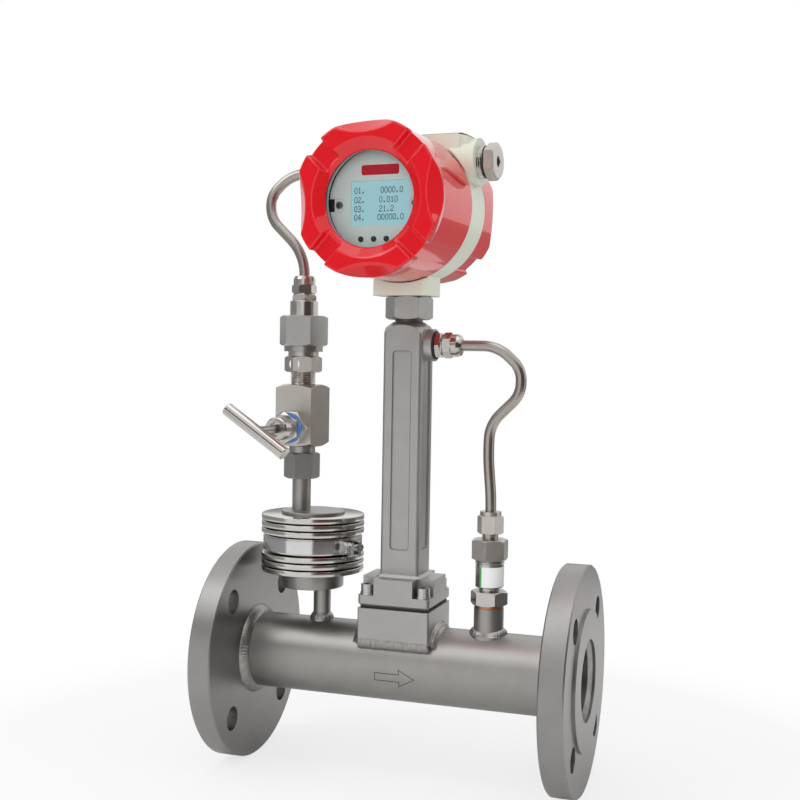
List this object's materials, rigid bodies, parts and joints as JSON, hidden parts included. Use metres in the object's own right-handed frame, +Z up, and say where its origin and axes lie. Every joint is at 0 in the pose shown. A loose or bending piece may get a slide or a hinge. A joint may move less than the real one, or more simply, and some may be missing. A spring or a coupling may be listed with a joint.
{
  "type": "vortex flow meter",
  "caption": "Flanged vortex flow meter with a round display housing on a column, a finned pressure branch with needle valve, and a temperature probe",
  "frame": {"origin": "centre of the inlet flange's raised face, on the pipe's axis", "axes": "+X runs with the flow from the inlet to the outlet, +Z is up towards the display, and -Y is the side the display looks to"},
  "size_m": [0.28, 0.1679, 0.4749],
  "materials": {
    "blasted_steel": "bead-blasted grey stainless steel",
    "weld_metal": "blasted weld metal",
    "machined_steel": "plain turned stainless steel",
    "cast_steel": "light grey blasted casting",
    "bright_steel": "bright turned and polished stainless steel",
    "satin_steel": "brushed stainless steel",
    "valve_steel": "satin forged steel",
    "zinc_steel": "zinc-plated steel",
    "turned_aluminium": "fine turned bright metal",
    "conduit_steel": "satin stainless tube",
    "cream_paint": "semi-gloss cream powder coat",
    "red_paint": "high-gloss red enamel",
    "anodised_black": "black anodised",
    "clear_glass": "clear toughened glass",
    "black_rubber": "black rubber",
    "white_plastic": "white printed plate",
    "lcd_grey": "pale blue-grey display",
    "black_plastic": "black moulded plastic",
    "board_green": "green lacquered board",
    "pillar_brass": "nickel-free brass",
    "copper": "soft copper",
    "blue_plastic": "blue plastic",
    "dark_plate": "thin dark plate, bare"
  },
  "bodies": {
    "meter": {"bluff_body": "machined_steel", "board_pillars": "pillar_brass", "bonnet_screws": "zinc_steel", "circuit_boards": "board_green", "clamp_band": "satin_steel", "clamp_bolt": "zinc_steel", "clamp_nut": "zinc_steel", "column_nipple": "machined_steel", "column_nut": "bright_steel", "conduit_gland_bodies": "bright_steel", "conduit_gland_nuts": "bright_steel", "cooler": "turned_aluminium", "copper_washer": "copper", "display_bezel": "white_plastic", "display_screws": "zinc_steel", "entry_bush": "black_rubber", "entry_glands": "bright_steel", "extension_column": "cast_steel", "flow_tube": "blasted_steel", "gauge_connector": "bright_steel", "housing": "cream_paint", "inlet_flange": "blasted_steel", "lcd_module": "lcd_grey", "lock_nut": "bright_steel", "marker_ring": "blue_plastic", "name_plate": "dark_plate", "outlet_flange": "blasted_steel", "packing_gland": "bright_steel", "pressure_conduit": "conduit_steel", "pressure_sensor_body": "satin_steel", "pressure_sensor_cap": "bright_steel", "pressure_stub": "blasted_steel", "riser_nut": "bright_steel", "riser_pipe": "blasted_steel", "sealing_rings": "black_rubber", "sensor_block": "blasted_steel", "sensor_gasket": "black_rubber", "spring_washers": "zinc_steel", "temperature_boss": "machined_steel", "temperature_conduit": "conduit_steel", "temperature_probe": "machined_steel", "temperature_well": "bright_steel", "terminal_block": "black_plastic", "top_nut": "bright_steel", "union_nut": "bright_steel", "valve_body": "valve_steel", "valve_bonnet": "bright_steel", "vortex_sensor": "machined_steel", "weld_beads": "weld_metal"},
    "valve_needle": {"valve_stem": "machined_steel"},
    "valve_handle": {"valve_handle": "bright_steel"},
    "front_seal": {"front_seal": "black_rubber"},
    "front_cover": {"front_cover": "red_paint", "window_glass": "clear_glass", "window_retainer": "anodised_black"},
    "rear_seal": {"rear_seal": "black_rubber"},
    "rear_cover": {"rear_cover": "red_paint"},
    "button_1": {"button_1": "black_plastic"},
    "button_2": {"button_2": "black_plastic"},
    "button_3": {"button_3": "black_plastic"}
  },
  "joints": [
    {"name": "valve_rise", "type": "slide", "parent": "meter", "child": "valve_needle", "axis": [-0.061, -0.9981, 0], "range_m": [0, 0.0046]},
    {"name": "valve_turn", "type": "hinge", "parent": "valve_needle", "child": "valve_handle", "pos_m": [0.055, 0, 0.1749], "axis": [-0.061, -0.9981, 0], "range_deg": [0, 1080]},
    {"name": "front_cover_travel", "type": "slide", "parent": "meter", "child": "front_seal", "axis": [-0.0732, -0.9973, 0], "range_m": [0, 0.0111]},
    {"name": "front_cover_turn", "type": "hinge", "parent": "front_seal", "child": "front_cover", "pos_m": [0.14, 0, 0.3378], "axis": [-0.0732, -0.9973, 0], "range_deg": [0, 1980]},
    {"name": "rear_cover_travel", "type": "slide", "parent": "meter", "child": "rear_seal", "axis": [0.0732, 0.9973, 0], "range_m": [0, 0.0111]},
    {"name": "rear_cover_turn", "type": "hinge", "parent": "rear_seal", "child": "rear_cover", "pos_m": [0.14, 0, 0.3378], "axis": [0.0732, 0.9973, 0], "range_deg": [0, 1980]},
    {"name": "button_1_press", "type": "slide", "parent": "meter", "child": "button_1", "axis": [0.0732, 0.9973, 0], "range_m": [0, 0.0005], "stiffness_N_per_m": 200},
    {"name": "button_2_press", "type": "slide", "parent": "meter", "child": "button_2", "axis": [0.0732, 0.9973, 0], "range_m": [0, 0.0005], "stiffness_N_per_m": 200},
    {"name": "button_3_press", "type": "slide", "parent": "meter", "child": "button_3", "axis": [0.0732, 0.9973, 0], "range_m": [0, 0.0005], "stiffness_N_per_m": 200}
  ],
  "couplings": [
    {"joint": "valve_rise", "follows": "valve_turn", "m_per_rad": 0.00023873},
    {"joint": "front_cover_travel", "follows": "front_cover_turn", "m_per_rad": 0.00031831},
    {"joint": "rear_cover_travel", "follows": "rear_cover_turn", "m_per_rad": 0.00031831}
  ]
}
